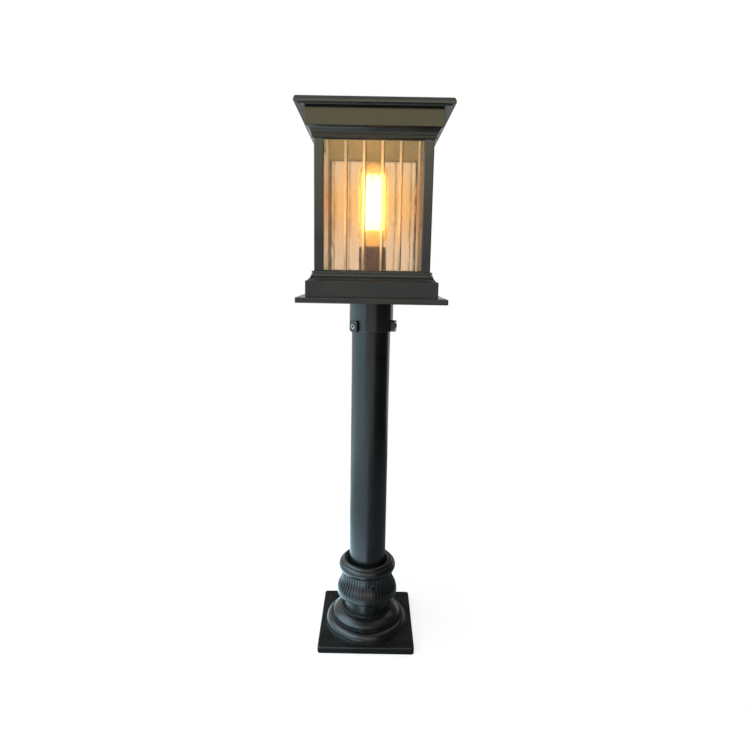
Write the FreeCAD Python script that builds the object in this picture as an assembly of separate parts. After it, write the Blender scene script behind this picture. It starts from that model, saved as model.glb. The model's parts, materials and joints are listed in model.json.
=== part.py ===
import FreeCAD, Part
import math
import os

# Garden post light: a square lantern on a round post, with a foot cover and a fluted collar.
# Millimetres, +Z up, front is -Y. The origin is on the ground, on the axis of the post.

# Gaps shared by the pieces
slip_gap = 0.4
thread_gap = 0.05
seat_gap = 0.1
bolt_gap = 0.25
tip_gap = 0.15

# Post tube and the anchor plate welded under it
tube_diameter = 60.0
tube_wall = 2.5
anchor_thickness = 5.0
anchor_hole_diameter = 9.0
anchor_bolt_clear = 4.0
anchor_edge = 16.0
anchor_cable_hole_inset = 5.5
weld_leg = 3.5

# Foot cover, from its neck outwards and from the ground upwards
neck_wall = 6.6
neck_ring_step = 4.2
dome_ledge = 1.4
dome_width = 13.8
bead_step = 1.2
bell_ledge = 0.8
bell_width = 8.4
foot_step_ledge = 1.6
foot_margin = 7.7
foot_plate_thickness = 10.6
foot_step_height = 2.0
bell_height = 10.0
bell_bulge = 2.4
bead_height = 1.8
bead_groove_height = 0.8
bead_groove_depth = 1.1
dome_height = 8.2
dome_bulge = 0.9
neck_ring_height = 3.0
neck_height = 26.2
foot_corner_radius = 5.0
foot_edge_radius = 1.5
foot_recess_gap = 2.0
foot_recess_headroom = 1.0
nut_room_width = 10.5
nut_room_height = 13.0
dome_roof = 5.2
dome_room_inset = 9.4

# Fluted collar
collar_overlap = 3.0
collar_room_width = 6.1
collar_wall = 5.8
collar_seat_thickness = 6.0
collar_rim_inset = 4.6
collar_rim_height = 4.5
collar_rim_bulge = 1.6
collar_flare = 8.3
collar_bell_height = 29.5
collar_waist_height = 8.0
collar_bead_width = 5.0
collar_bead_height = 15.5
collar_bead_top_step = 0.9
collar_groove_height = 0.7
collar_lip_inset = 0.3
collar_lip_rise = 3.6
collar_mouth_gap = 2.0
collar_mouth_depth = 2.0
collar_guide_length = 14.0
flute_count = 52
flute_width = 2.8
flute_depth = 1.3
flute_rise = 7.5

# Set screws and clamp screws
set_screw_diameter = 8.0
set_screw_sink = 0.7
set_screw_chamfer = 0.6
hex_across_flats = 4.0
hex_depth = 4.0
foot_screw_angle = 27.0
foot_screw_rise = 6.2
collar_screw_angle = 17.0
collar_screw_rise = 29.0
clamp_screw_count = 3
clamp_screw_first_angle = -44.5
clamp_screw_proud = 1.5

# Slip fitter under the lantern
lantern_floor_height = 557.5
fitter_length = 47.8
fitter_wall = 3.5
fitter_boss_rise = 5.0
fitter_boss_width = 15.0
fitter_boss_height = 17.5
fitter_boss_corner = 4.0
fitter_edge = 0.8
fitter_stop_depth = 4.2
fitter_stop_width = 6.4
fitter_flange_width = 14.1
fitter_flange_thickness = 4.0
fitter_screw_count = 4
fitter_screw_diameter = 5.0
fitter_screw_head_diameter = 8.5
fitter_screw_head_height = 5.0
fitter_screw_depth = 3.6

# Lantern plates and mouldings
plate_side = 210.0
plate_thickness = 7.7
plate_edge = 1.0
plate_overhang = 12.8
floor_pocket_depth = 3.2
pocket_boss_gap = 2.0
moulding_wall_height = 22.5
moulding_wall = 4.0
cove_shelf = 1.2
cove_depth = 6.8
cove_height = 9.5
cove_hollow = 1.4
cove_groove_height = 1.4
cove_groove_depth = 1.2
cove_skin = 3.0
lip_height = 2.8
lip_taper = 0.6
lip_round = 1.2
lip_wall = 5.2
deck_thickness = 4.0
corner_boss_diameter = 11.0

# Roof
roof_under_edge = 0.6
roof_step_inset = 4.5
roof_step_height = 1.6
roof_bevel_width = 2.0
roof_bevel_height = 4.0
roof_rise = 6.0
roof_top_side = 40.0
roof_skin = 4.0
roof_gasket_thickness = 0.8
roof_gasket_inset = 1.6
roof_gasket_width = 2.2

# Corner posts, panes and seals
lip_ledge = 3.2
post_length = 175.6
post_width = 13.1
post_edge = 0.8
pane_thickness = 4.0
pane_cheek = 2.5
pane_gap = 0.2
pane_groove_depth = 4.5
pane_side_gap = 0.4
rib_spacing = 25.0
rib_top_width = 1.2
rib_shoulder = 2.0
rib_height = 1.2
seal_thickness = 1.2
seal_end_gap = 0.3

# Long frame screws
frame_screw_diameter = 4.0
frame_screw_inset = 4.3
frame_screw_reach = 20.0
frame_screw_head_diameter = 7.6
frame_screw_head_height = 3.0
frame_screw_head_room = 3.4
driver_slot_width = 1.2
driver_slot_depth = 1.2

# Lampholder
holder_height = 36.6
holder_ridge_count = 24
holder_ridge_width = 2.2
holder_ridge_rise = 1.0
holder_foot_height = 4.0
holder_collar_height = 6.0
holder_wall = 4.4
holder_floor = 4.6
shell_wall = 1.4
shell_height = 25.0
disc_thickness = 3.0
contact_radius = 4.0
contact_thickness = 0.6
nipple_diameter = 10.0
nipple_wall = 1.4
nipple_drop = 9.0
nut_across_flats = 17.0
nut_height = 5.0

# Bulb
cap_crest_radius = 13.2
cap_root_radius = 12.2
cap_pitch = 3.629
cap_turns = 5
cap_height = 24.6
cap_thread_start = 1.6
cap_metal = 0.5
tip_radius = 5.0
tip_height = 1.8
insulator_height = 2.5
envelope_radius = 22.5
envelope_glass = 1.0
envelope_length = 123.4
shoulder_height = 17.0
neck_depth = 6.0
stem_radius = 4.5
stem_height = 28.5
stem_flare_height = 2.0
filament_count = 8
filament_radius = 1.2
filament_circle = 13.0
filament_length = 80.0
wire_radius = 0.5
wire_overrun = 1.5

# Terminal block, earth pillar and leads
block_poles = 3
block_pole_pitch = 10.0
block_width = 14.0
block_height = 14.0
block_gap = 3.0
block_hole_depth = 5.0
block_hole_height = 8.0
block_screw_radius = 2.2
block_screw_depth = 4.0
lead_radius = 1.2
lead_room = 0.6
lead_entry = 1.2
lead_bend = 12.0
lead_spacing = 2.8
pillar_radius = 4.5
pillar_height = 13.0
pillar_distance = 26.0
pillar_screw_depth = 2.0
pillar_head_height = 2.0
earth_bend = 8.0

# Places worked out from the sizes above: the post and its foot
tube_radius = tube_diameter / 2.0
slip_radius = tube_radius + slip_gap
tube_top = lantern_floor_height - fitter_stop_depth
bolt_offset = tube_radius + anchor_bolt_clear
anchor_half = bolt_offset + anchor_edge
neck_radius = slip_radius + neck_wall
neck_ring_radius = neck_radius + neck_ring_step
dome_top_radius = neck_ring_radius + dome_ledge
dome_low_radius = dome_top_radius + dome_width
upper_bead_radius = dome_low_radius + bead_step
lower_bead_radius = upper_bead_radius + bead_step
bell_top_radius = lower_bead_radius + bell_ledge
bell_low_radius = bell_top_radius + bell_width
foot_step_radius = bell_low_radius + foot_step_ledge
foot_half = foot_step_radius + foot_margin
bell_low = foot_plate_thickness + foot_step_height
bell_top = bell_low + bell_height
lower_bead_low = bell_top + bead_groove_height
lower_bead_top = lower_bead_low + bead_height
upper_bead_low = lower_bead_top + bead_groove_height
upper_bead_top = upper_bead_low + bead_height
dome_low = upper_bead_top + bead_groove_height
dome_top = dome_low + dome_height
neck_low = dome_top + neck_ring_height
neck_top = neck_low + neck_height
nut_room_radius = bolt_offset * math.sqrt(2.0) + nut_room_width

# The collar
collar_low = neck_top - collar_overlap
collar_room_radius = slip_radius + collar_room_width
waist_radius = collar_room_radius + collar_wall
collar_max_radius = waist_radius + collar_flare
collar_max_height = collar_low + collar_rim_height
waist_low = collar_max_height + collar_bell_height
bead_low = waist_low + collar_waist_height
bead_top = bead_low + collar_bead_height
lip_bead_low = bead_top + collar_groove_height
lip_bead_radius = waist_radius - collar_lip_inset
mouth_radius = slip_radius + collar_mouth_gap
flute_low = collar_max_height + flute_rise

# The lantern
fitter_radius = slip_radius + fitter_wall
fitter_mouth_radius = slip_radius - fitter_stop_width
boss_face_radius = fitter_radius + fitter_boss_rise
fitter_low = lantern_floor_height - fitter_length
boss_middle = fitter_low + fitter_boss_height / 2.0
flange_radius = fitter_radius + fitter_flange_width
fitter_screw_circle = fitter_radius + fitter_flange_width / 2.0
plate_half = plate_side / 2.0
wall_half = plate_half - plate_overhang
lip_half = wall_half - cove_shelf - cove_depth
frame_half = lip_half - lip_ledge
post_inner = frame_half - post_width
screw_place = frame_half - frame_screw_inset
moulding_height = moulding_wall_height + cove_height + cove_groove_height + lip_height
plate_top = lantern_floor_height + plate_thickness
floor_seat = plate_top - floor_pocket_depth
flange_top = floor_seat + fitter_flange_thickness
pocket_half = screw_place - corner_boss_diameter / 2.0 - pocket_boss_gap
deck_top = plate_top + moulding_height
deck_low = deck_top - deck_thickness
post_top = deck_top + post_length
upper_moulding_top = post_top + moulding_height
roof_low = upper_moulding_top + roof_gasket_thickness
roof_slab_low = roof_low + roof_step_height
roof_edge_top = roof_slab_low + plate_thickness
pane_outer = frame_half - pane_cheek
pane_inner = pane_outer - pane_thickness
pane_half = post_inner + pane_groove_depth - pane_side_gap
rib_width = rib_top_width + 2.0 * rib_shoulder
rib_count = int((2.0 * post_inner - rib_width) // rib_spacing) + 1
pane_low = deck_top + seal_thickness
pane_top = post_top - seal_thickness

# The lampholder and the bulb
frame_screw_radius = frame_screw_diameter / 2.0
nipple_radius = nipple_diameter / 2.0
disc_low = deck_top + holder_floor
disc_top = disc_low + disc_thickness
holder_top = deck_top + holder_height
shell_inner = cap_crest_radius + slip_gap
shell_outer = shell_inner + shell_wall
holder_bore = shell_outer + seat_gap
holder_radius = holder_bore + holder_wall
tip_low = disc_top + contact_thickness + seat_gap
insulator_low = tip_low + tip_height
cap_low = insulator_low + insulator_height
cap_top = cap_low + cap_height
bulb_neck_radius = cap_root_radius - cap_metal - seat_gap
shoulder_top = cap_top + shoulder_height
envelope_top = cap_top + envelope_length
stem_low = cap_top - neck_depth
stem_top = stem_low + stem_height
filament_low = stem_top + wire_overrun
filament_top = filament_low + filament_length


def vector(x, y, z):
    return FreeCAD.Vector(x, y, z)


UP = vector(0, 0, 1)
CENTRE = vector(0, 0, 0)


def cylinder(radius, low, high, x=0.0, y=0.0):
    return Part.makeCylinder(radius, high - low, vector(x, y, low))


def square_block(half_side, low, high):
    side = 2.0 * half_side
    return Part.makeBox(side, side, high - low, vector(-half_side, -half_side, low))


def block(low, high):
    size = [high[i] - low[i] for i in range(3)]
    return Part.makeBox(size[0], size[1], size[2], vector(*low))


def spun(shape, degrees):
    copy = shape.copy()
    copy.rotate(CENTRE, UP, degrees)
    return copy


def raised(shape, height):
    copy = shape.copy()
    copy.translate(vector(0, 0, height))
    return copy


def joined(shapes):
    return shapes[0].multiFuse(shapes[1:]).removeSplitter()


def group(shapes):
    return Part.makeCompound(shapes)


def arc(middle, end):
    """A step of an outline that curves through one point to another."""
    return (middle, end)


def bulged(start, end, bulge):
    """An arc from start to end whose middle stands out by the bulge, to the right of the chord."""
    run = end[0] - start[0]
    rise = end[1] - start[1]
    length = math.hypot(run, rise)
    middle = (
        (start[0] + end[0]) / 2.0 + bulge * rise / length,
        (start[1] + end[1]) / 2.0 - bulge * run / length,
    )
    return arc(middle, end)


def s_curve(start, end):
    """Two tangent arcs from start to end that leave and arrive along the axis."""
    middle = ((start[0] + end[0]) / 2.0, (start[1] + end[1]) / 2.0)
    run = abs(middle[0] - start[0])
    rise = abs(middle[1] - start[1])
    radius = (run * run + rise * rise) / (2.0 * run)
    half_turn = math.atan2(rise, radius - run) / 2.0
    side = math.copysign(1.0, end[0] - start[0])
    way = math.copysign(1.0, end[1] - start[1])
    first = (
        start[0] + side * radius * (1.0 - math.cos(half_turn)),
        start[1] + way * radius * math.sin(half_turn),
    )
    second = (2.0 * middle[0] - first[0], 2.0 * middle[1] - first[1])
    return [arc(first, middle), arc(second, end)]


def outline_face(start, steps, place):
    """A face bounded by lines and arcs; place turns a flat point into a vector."""
    edges = []
    here = start
    for step in list(steps) + [start]:
        if isinstance(step[0], tuple):
            middle, end = step
            edges.append(Part.Arc(place(here), place(middle), place(end)).toShape())
        else:
            end = step
            edges.append(Part.makeLine(place(here), place(end)))
        here = end
    return Part.Face(Part.Wire(edges))


def turned(start, *steps):
    """A solid turned about the post's axis from an outline of (radius, height) points."""
    face = outline_face(start, steps, lambda p: vector(p[0], 0, p[1]))
    solid = face.revolve(CENTRE, UP, 360)
    if solid.Volume < 0:
        solid.reverse()
    return solid


def hexagon(across_flats, low, high):
    radius = across_flats / math.sqrt(3.0)
    corners = []
    for i in range(7):
        angle = math.radians(60 * i)
        corners.append(vector(radius * math.cos(angle), radius * math.sin(angle), low))
    return Part.Face(Part.makePolygon(corners)).extrude(vector(0, 0, high - low))


def round_circle(count, radius, first_degrees=0.0):
    """Places of a ring of holes."""
    places = []
    for i in range(count):
        angle = math.radians(first_degrees + 360.0 * i / count)
        places.append((radius * math.cos(angle), radius * math.sin(angle)))
    return places


def four_corners(offset):
    return [(sx * offset, sy * offset) for sx in (-1, 1) for sy in (-1, 1)]


def from_front(shape, degrees):
    """Turns a shape that lies along +X to face an angle to the right of the front."""
    return spun(shape, degrees - 90.0)


def radial_hole(inner, outer, height, degrees):
    radius = set_screw_diameter / 2.0 + thread_gap
    hole = Part.makeCylinder(radius, outer - inner, vector(inner, 0, height), vector(1, 0, 0))
    return from_front(hole, degrees)


def radial_screw(outer, height, degrees):
    """Socket screw whose point stands just off the tube."""
    point = tube_radius + tip_gap
    radius = set_screw_diameter / 2.0
    screw = turned(
        (0, point),
        (radius - set_screw_chamfer, point),
        (radius, point + set_screw_chamfer),
        (radius, outer - set_screw_chamfer),
        (radius - set_screw_chamfer, outer),
        (0, outer),
    )
    screw = screw.cut(hexagon(hex_across_flats, outer - hex_depth, outer + hex_depth))
    screw.rotate(CENTRE, vector(0, 1, 0), 90)
    screw.translate(vector(0, 0, height))
    return from_front(screw, degrees)


def slotted_screw(radius, head_radius, head_height, tip, seat):
    """Screw along Z with its head above the seat and a driver slot."""
    head_top = seat + head_height
    shank = cylinder(radius, tip, seat)
    head = cylinder(head_radius, seat, head_top)
    slot = block(
        (-head_radius, -driver_slot_width / 2.0, head_top - driver_slot_depth),
        (head_radius, driver_slot_width / 2.0, head_top + driver_slot_depth),
    )
    return joined([shank, head]).cut(slot)


def upside_down(shape):
    copy = shape.copy()
    copy.rotate(CENTRE, vector(1, 0, 0), 180)
    return copy


def at_places(shape, places):
    copies = []
    for x, y in places:
        copy = shape.copy()
        copy.translate(vector(x, y, 0))
        copies.append(copy)
    return copies


# Post tube and anchor plate

def post_tube():
    outer = cylinder(tube_radius, anchor_thickness, tube_top)
    return outer.cut(cylinder(tube_radius - tube_wall, anchor_thickness, tube_top))


def anchor_plate():
    plate = square_block(anchor_half, 0, anchor_thickness)
    weld_radius = tube_radius + seat_gap
    weld = turned(
        (weld_radius, 0),
        (weld_radius + weld_leg, 0),
        (weld_radius + weld_leg, anchor_thickness),
        (weld_radius, anchor_thickness + weld_leg),
    )
    plate = joined([plate, weld])
    plate = plate.cut(cylinder(tube_radius - anchor_cable_hole_inset - tube_wall, 0, anchor_thickness))
    bolt_hole = cylinder(anchor_hole_diameter / 2.0, 0, anchor_thickness)
    for hole in at_places(bolt_hole, four_corners(bolt_offset)):
        plate = plate.cut(hole)
    return plate


# Foot cover

def rounded_square(half_side, corner_radius, low, high):
    solid = square_block(half_side, low, high)
    uprights = [e for e in solid.Edges if abs(e.Vertexes[0].Z - e.Vertexes[1].Z) > 0.5 * (high - low)]
    return solid.makeFillet(corner_radius, uprights)


def foot_plate():
    plate = rounded_square(foot_half, foot_corner_radius, 0, foot_plate_thickness)
    rim = [e for e in plate.Edges if min(v.Z for v in e.Vertexes) > foot_plate_thickness / 2.0]
    return plate.makeFillet(foot_edge_radius, rim)


def foot_turning():
    lower_groove = lower_bead_radius - bead_groove_depth
    upper_groove = upper_bead_radius - bead_groove_depth
    dome_groove = dome_low_radius - bead_groove_depth
    return turned(
        (0, foot_plate_thickness / 2.0),
        (foot_step_radius, foot_plate_thickness / 2.0),
        (foot_step_radius, bell_low),
        (bell_low_radius, bell_low),
        bulged((bell_low_radius, bell_low), (bell_top_radius, bell_top), bell_bulge),
        (lower_groove, bell_top),
        (lower_groove, lower_bead_low),
        (lower_bead_radius, lower_bead_low),
        (lower_bead_radius, lower_bead_top),
        (upper_groove, lower_bead_top),
        (upper_groove, upper_bead_low),
        (upper_bead_radius, upper_bead_low),
        (upper_bead_radius, upper_bead_top),
        (dome_groove, upper_bead_top),
        (dome_groove, dome_low),
        (dome_low_radius, dome_low),
        bulged((dome_low_radius, dome_low), (dome_top_radius, dome_top), dome_bulge),
        (neck_ring_radius, dome_top),
        (neck_ring_radius, neck_low),
        (neck_radius, neck_low),
        (neck_radius, neck_top),
        (0, neck_top),
    )


def foot_room():
    """The hollow under the foot, with room for the anchor nuts."""
    recess_top = anchor_thickness + foot_recess_headroom
    nut_room_top = anchor_thickness + nut_room_height
    room_top = dome_top - dome_roof
    dome_room_radius = dome_low_radius - dome_room_inset
    room = turned(
        (0, recess_top / 2.0),
        (nut_room_radius, recess_top / 2.0),
        (nut_room_radius, nut_room_top),
        (dome_room_radius, room_top),
        (0, room_top),
    )
    recess = square_block(anchor_half + foot_recess_gap, -recess_top, recess_top)
    return joined([room, recess])


def foot_cover():
    cover = joined([foot_plate(), foot_turning()])
    cover = cover.cut(foot_room())
    cover = cover.cut(cylinder(slip_radius, 0, 2.0 * neck_top))
    return cover.cut(radial_hole(tube_radius / 2.0, foot_half, neck_low + foot_screw_rise, foot_screw_angle))


# Fluted collar

def collar_bell(inset):
    """Outline of the bell from its widest ring up to the round bead."""
    wide = (collar_max_radius - inset, collar_max_height)
    waist = (waist_radius - inset, waist_low)
    return [wide] + s_curve(wide, waist) + [(waist_radius - inset, bead_low)]


def collar_body():
    neck_bore = neck_radius + slip_gap
    seat_top = neck_top + collar_seat_thickness
    guide_low = lip_bead_low - collar_mouth_depth - collar_guide_length
    mouth_low = lip_bead_low - collar_mouth_depth
    rim = (collar_max_radius - collar_rim_inset, collar_low)
    wide = (collar_max_radius, collar_max_height)
    bead_middle = (waist_radius + collar_bead_width, (bead_low + bead_top) / 2.0)
    bead_end = (waist_radius + collar_bead_top_step, bead_top)
    lip_crown = ((lip_bead_radius + mouth_radius) / 2.0, lip_bead_low + collar_lip_rise)
    return turned(
        (neck_bore, collar_low),
        rim,
        bulged(rim, wide, collar_rim_bulge),
        *collar_bell(0)[1:],
        arc(bead_middle, bead_end),
        (lip_bead_radius, bead_top),
        (lip_bead_radius, lip_bead_low),
        arc(lip_crown, (mouth_radius, lip_bead_low)),
        (slip_radius, mouth_low),
        (slip_radius, guide_low),
        (collar_room_radius, guide_low),
        (collar_room_radius, seat_top),
        (slip_radius, seat_top),
        (slip_radius, neck_top),
        (neck_bore, neck_top),
    )


def collar_flutes():
    """Upright grooves that follow the bell at one depth."""
    bell = collar_bell(flute_depth)
    core = turned((0, collar_max_height), *bell, (0, bead_low))
    slab = block(
        (-2.0 * collar_max_radius, -flute_width / 2.0, flute_low),
        (2.0 * collar_max_radius, flute_width / 2.0, bead_low),
    )
    sleeve = cylinder(2.0 * collar_max_radius, flute_low, bead_low).cut(core)
    cuts = []
    for i in range(flute_count // 2):
        cuts.append(spun(slab, 360.0 * i / flute_count).common(sleeve))
    return group(cuts)


def fluted_collar():
    collar = collar_body().cut(collar_flutes())
    height = collar_low + collar_screw_rise
    return collar.cut(radial_hole(tube_radius / 2.0, 2.0 * waist_radius, height, collar_screw_angle))


def foot_set_screw():
    return radial_screw(neck_radius - set_screw_sink, neck_low + foot_screw_rise, foot_screw_angle)


def collar_set_screw():
    return radial_screw(waist_radius - set_screw_sink, collar_low + collar_screw_rise, collar_screw_angle)


# Slip fitter

def clamp_screw_angle(index):
    return clamp_screw_first_angle + 360.0 * index / clamp_screw_count


def fitter_boss(degrees):
    low = (0, -fitter_boss_width / 2.0, fitter_low)
    high = (boss_face_radius, fitter_boss_width / 2.0, fitter_low + fitter_boss_height)
    pad = block(low, high)
    radial = [e for e in pad.Edges if abs(e.Vertexes[0].X - e.Vertexes[1].X) > boss_face_radius / 2.0]
    return from_front(pad.makeFillet(fitter_boss_corner, radial), degrees)


def slip_fitter():
    sleeve = turned(
        (0, fitter_low),
        (fitter_radius - fitter_edge, fitter_low),
        (fitter_radius, fitter_low + fitter_edge),
        (fitter_radius, floor_seat),
        (flange_radius, floor_seat),
        (flange_radius, flange_top),
        (0, flange_top),
    )
    angles = [clamp_screw_angle(i) for i in range(clamp_screw_count)]
    fitter = joined([sleeve] + [fitter_boss(angle) for angle in angles])
    fitter = fitter.cut(cylinder(slip_radius, 0, tube_top))
    fitter = fitter.cut(cylinder(fitter_mouth_radius, 0, flange_top))
    for angle in angles:
        fitter = fitter.cut(radial_hole(tube_radius / 2.0, 2.0 * boss_face_radius, boss_middle, angle))
    hole = cylinder(fitter_screw_diameter / 2.0 + bolt_gap, floor_seat, flange_top)
    for cut in at_places(hole, fitter_screw_places()):
        fitter = fitter.cut(cut)
    return fitter


def fitter_screw_places():
    return round_circle(fitter_screw_count, fitter_screw_circle, 180.0 / fitter_screw_count)


def slip_fitter_screws():
    screw = cylinder(fitter_screw_diameter / 2.0, floor_seat - fitter_screw_depth, flange_top)
    head_top = flange_top + fitter_screw_head_height
    head = cylinder(fitter_screw_head_diameter / 2.0, flange_top, head_top)
    socket = hexagon(hex_across_flats, flange_top + driver_slot_depth, 2.0 * head_top)
    return group(at_places(joined([screw, head]).cut(socket), fitter_screw_places()))


def clamp_screw(index):
    return radial_screw(boss_face_radius + clamp_screw_proud, boss_middle, clamp_screw_angle(index))


# Lantern floor, mouldings and roof

def floor_plate():
    plate = square_block(plate_half, lantern_floor_height, plate_top)
    plate = plate.makeChamfer(plate_edge, plate.Edges)
    plate = plate.cut(square_block(pocket_half, floor_seat, plate_top))
    plate = plate.cut(cylinder(fitter_radius + seat_gap, lantern_floor_height, floor_seat))
    shank = cylinder(frame_screw_radius + bolt_gap, lantern_floor_height, plate_top)
    head_radius = frame_screw_head_diameter / 2.0 + bolt_gap
    head = cylinder(head_radius, lantern_floor_height, lantern_floor_height + frame_screw_head_room)
    tapped_radius = fitter_screw_diameter / 2.0 + thread_gap
    tapped = cylinder(tapped_radius, floor_seat - fitter_screw_depth - bolt_gap, floor_seat)
    cuts = at_places(joined([shank, head]), four_corners(screw_place))
    cuts += at_places(tapped, fitter_screw_places())
    for cut in cuts:
        plate = plate.cut(cut)
    return plate


def cove_cutter():
    """What is taken off one side of the moulding: the cove, a shadow groove and the rounded lip."""
    shelf = (wall_half - cove_shelf, moulding_wall_height)
    cove_top = (lip_half, moulding_wall_height + cove_height)
    groove = lip_half - cove_groove_depth
    groove_top = cove_top[1] + cove_groove_height
    outside = 2.0 * wall_half
    lip_face = lip_half - lip_taper
    corner = lip_round * (1.0 - math.sqrt(0.5))
    round_middle = (lip_face - corner, moulding_height - corner)
    steps = [
        bulged(shelf, cove_top, -cove_hollow),
        (groove, cove_top[1]),
        (groove, groove_top),
        (lip_half, groove_top),
        (lip_face, moulding_height - lip_round),
        arc(round_middle, (lip_face - lip_round, moulding_height)),
        (outside, moulding_height),
        (outside, shelf[1]),
    ]
    face = outline_face(shelf, steps, lambda p: vector(p[0], -outside, p[1]))
    return face.extrude(vector(0, 2.0 * outside, 0))


def moulding():
    """Square casting with its plate side at height zero and its lip and deck at the top."""
    shape = square_block(wall_half, 0, moulding_height)
    cutter = cove_cutter()
    for turn in range(4):
        shape = shape.cut(spun(cutter, 90.0 * turn))
    wide_room_top = moulding_wall_height - cove_skin
    deck_under = moulding_height - deck_thickness
    shape = shape.cut(square_block(wall_half - moulding_wall, 0, wide_room_top))
    shape = shape.cut(square_block(lip_half - lip_wall, 0, deck_under))
    bosses = at_places(cylinder(corner_boss_diameter / 2.0, 0, moulding_height), four_corners(screw_place))
    shape = joined([shape] + bosses)
    hole = cylinder(frame_screw_radius + bolt_gap, 0, moulding_height)
    for cut in at_places(hole, four_corners(screw_place)):
        shape = shape.cut(cut)
    return shape


def lower_moulding():
    shape = raised(moulding(), plate_top)
    return shape.cut(cylinder(nipple_radius + bolt_gap, deck_low, deck_top))


def upper_moulding():
    return raised(upside_down(moulding()), upper_moulding_top)


def tapered_square(low_half, low, top_half, top):
    rings = []
    for half, height in ((low_half, low), (top_half, top)):
        corners = [vector(-half, -half, height), vector(half, -half, height)]
        corners += [vector(half, half, height), vector(-half, half, height)]
        rings.append(Part.makePolygon(corners + corners[:1]))
    return Part.makeLoft(rings, True, True)


def roof_pocket():
    """The hollow under the roof, which leaves a skin of one thickness under the hips."""
    top_half = roof_top_side / 2.0
    slope = roof_rise / (plate_half - roof_bevel_width - top_half)
    peak = roof_edge_top + roof_rise - roof_skin
    shoulder = peak - slope * (pocket_half - top_half)
    lower = square_block(pocket_half, roof_low, shoulder)
    return joined([lower, tapered_square(pocket_half, shoulder, top_half, peak)])


def roof_plate():
    bevel_low = roof_edge_top - roof_bevel_height
    bevel_half = plate_half - roof_bevel_width
    face_low = roof_slab_low + roof_under_edge
    step = square_block(plate_half - roof_step_inset, roof_low, roof_slab_low)
    under_edge = tapered_square(plate_half - roof_under_edge, roof_slab_low, plate_half, face_low)
    slab = square_block(plate_half, face_low, bevel_low)
    bevel = tapered_square(plate_half, bevel_low, bevel_half, roof_edge_top)
    hip = tapered_square(bevel_half, roof_edge_top, roof_top_side / 2.0, roof_edge_top + roof_rise)
    roof = joined([step, under_edge, slab, bevel, hip])
    roof = roof.cut(roof_pocket())
    head_seat = roof_edge_top - frame_screw_head_height
    shank = cylinder(frame_screw_radius + bolt_gap, roof_low, roof_edge_top)
    head = cylinder(frame_screw_head_diameter / 2.0 + bolt_gap, head_seat, roof_edge_top + roof_rise)
    for cut in at_places(joined([shank, head]), four_corners(screw_place)):
        roof = roof.cut(cut)
    return roof


def roof_gasket():
    outer = wall_half - roof_gasket_inset
    ring = square_block(outer, upper_moulding_top, roof_low)
    return ring.cut(square_block(outer - roof_gasket_width, upper_moulding_top, roof_low))


def roof_screws():
    seat = roof_edge_top - frame_screw_head_height
    tip = post_top - frame_screw_reach
    head_radius = frame_screw_head_diameter / 2.0
    screw = slotted_screw(frame_screw_radius, head_radius, frame_screw_head_height, tip, seat)
    return group(at_places(screw, four_corners(screw_place)))


def lower_frame_screws():
    seat = lantern_floor_height + frame_screw_head_room
    tip = deck_top + frame_screw_reach
    head_radius = frame_screw_head_diameter / 2.0
    screw = slotted_screw(frame_screw_radius, head_radius, frame_screw_head_height, -tip, -seat)
    return group(at_places(upside_down(screw), four_corners(screw_place)))


# Corner posts, panes and seals

def corner_post():
    """The rear right post; the others are turned copies."""
    low = (post_inner, post_inner, deck_top)
    high = (frame_half, frame_half, post_top)
    post = block(low, high)
    uprights = [e for e in post.Edges if abs(e.Vertexes[0].Z - e.Vertexes[1].Z) > post_length / 2.0]
    post = post.makeChamfer(post_edge, uprights)
    groove_end = post_inner + pane_groove_depth
    near = pane_inner - pane_gap
    far = pane_outer + pane_gap
    post = post.cut(block((0, near, deck_top), (groove_end, far, post_top)))
    post = post.cut(block((near, 0, deck_top), (far, groove_end, post_top)))
    tapped_radius = frame_screw_radius + thread_gap
    hole_depth = frame_screw_reach + bolt_gap
    for hole_low in (deck_top, post_top - hole_depth):
        post = post.cut(cylinder(tapped_radius, hole_low, hole_low + hole_depth, screw_place, screw_place))
    return post


def rear_pane():
    """Ribbed pane at the rear, smooth outside; the others are turned copies."""
    steps = [(pane_half, pane_outer), (pane_half, pane_inner)]
    for i in reversed(range(rib_count)):
        middle = (i - (rib_count - 1) / 2.0) * rib_spacing
        foot = rib_width / 2.0
        crest = rib_top_width / 2.0
        crest_line = pane_inner - rib_height
        steps += [(middle + foot, pane_inner), (middle + crest, crest_line)]
        steps += [(middle - crest, crest_line), (middle - foot, pane_inner)]
    steps += [(-pane_half, pane_inner)]
    face = outline_face((-pane_half, pane_outer), steps, lambda p: vector(p[0], p[1], pane_low))
    return face.extrude(vector(0, 0, pane_top - pane_low))


def pane_seals(low):
    end = post_inner - seal_end_gap
    strip = block((-end, pane_inner, low), (end, pane_outer, low + seal_thickness))
    return group([spun(strip, 90.0 * turn) for turn in range(4)])


# Lampholder

def lampholder_body():
    ridge_low = deck_top + holder_foot_height
    ridge_top = holder_top - holder_collar_height
    outer = holder_radius + holder_ridge_rise
    body = turned(
        (0, deck_top),
        (outer, deck_top),
        (outer, ridge_low - holder_ridge_rise),
        (holder_radius, ridge_low),
        (holder_radius, ridge_top),
        (outer, ridge_top + holder_ridge_rise),
        (outer, holder_top - holder_ridge_rise),
        (holder_radius, holder_top),
        (0, holder_top),
    )
    ridge = block(
        (holder_radius - holder_wall / 2.0, -holder_ridge_width / 2.0, ridge_low - holder_ridge_rise),
        (outer, holder_ridge_width / 2.0, ridge_top + holder_ridge_rise),
    )
    ridges = [spun(ridge, 360.0 * i / holder_ridge_count) for i in range(holder_ridge_count)]
    body = joined([body] + ridges).common(cylinder(outer, deck_top, holder_top))
    body = body.cut(cylinder(holder_bore, disc_low, holder_top))
    return body.cut(cylinder(nipple_radius + thread_gap, deck_top, disc_low))


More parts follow.
